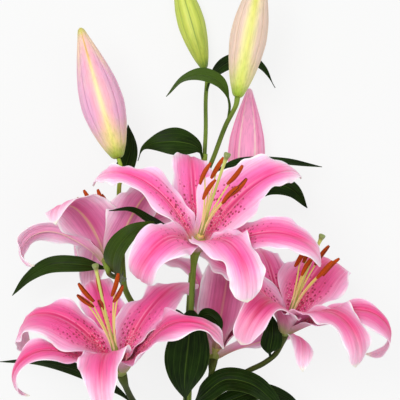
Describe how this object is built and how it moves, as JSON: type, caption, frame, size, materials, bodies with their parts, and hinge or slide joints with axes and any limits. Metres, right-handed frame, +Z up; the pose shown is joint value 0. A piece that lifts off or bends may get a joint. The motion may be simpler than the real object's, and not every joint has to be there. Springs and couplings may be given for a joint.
{
  "type": "cut lily",
  "caption": "Cut stem of a pink Oriental lily with open blooms, closed buds and leaves, lying on a surface.",
  "frame": {"origin": "under the middle of the object's box, on the surface that the lily lies on", "axes": "+Z up from the surface, +Y from the cut end to the bud tips, +X to the right for someone who looks down with the buds at the top"},
  "size_m": [0.3409, 0.5487, 0.2082],
  "materials": {
    "stem": "living green stem, satin",
    "tepals": "living petal, satin",
    "stamens": "pollen and living tissue, matte",
    "bud_pink": "living petal, satin",
    "bud_green": "living petal, satin",
    "bud_pale": "living petal, satin",
    "leaves": "living leaf, satin"
  },
  "bodies": {
    "root": {"stem": "stem", "bloom_front_tepals": "tepals", "bloom_front_stamens": "stamens", "bloom_lower_left_tepals": "tepals", "bloom_lower_left_stamens": "stamens", "bloom_lower_right_tepals": "tepals", "bloom_lower_right_stamens": "stamens", "bloom_back_left_tepals": "tepals", "bloom_back_left_stamens": "stamens", "bloom_back_centre_tepals": "tepals", "bloom_back_centre_stamens": "stamens", "bud_pink_left": "bud_pink", "bud_green": "bud_green", "bud_pale_right": "bud_pale", "bud_pink_back": "bud_pink", "leaf_upper_left": "leaves", "leaf_on_pale_bud": "leaves", "leaf_on_green_bud": "leaves", "leaf_right_thin": "leaves", "leaf_right_down": "leaves", "leaf_behind_pink_bud": "leaves", "leaf_left_long": "leaves", "leaf_left_raised": "leaves", "leaf_behind_front_bloom": "leaves", "leaf_lower_broad": "leaves", "leaf_lower_right": "leaves", "leaf_lower_right_under": "leaves", "leaf_on_right_stalk": "leaves", "leaf_far_left_thin": "leaves", "leaf_mid_left": "leaves", "leaf_mid_right": "leaves", "leaf_foot_left": "leaves", "leaf_foot_right": "leaves", "leaf_foot_low": "leaves", "leaf_foot_upper_left": "leaves"}
  },
  "joints": []
}
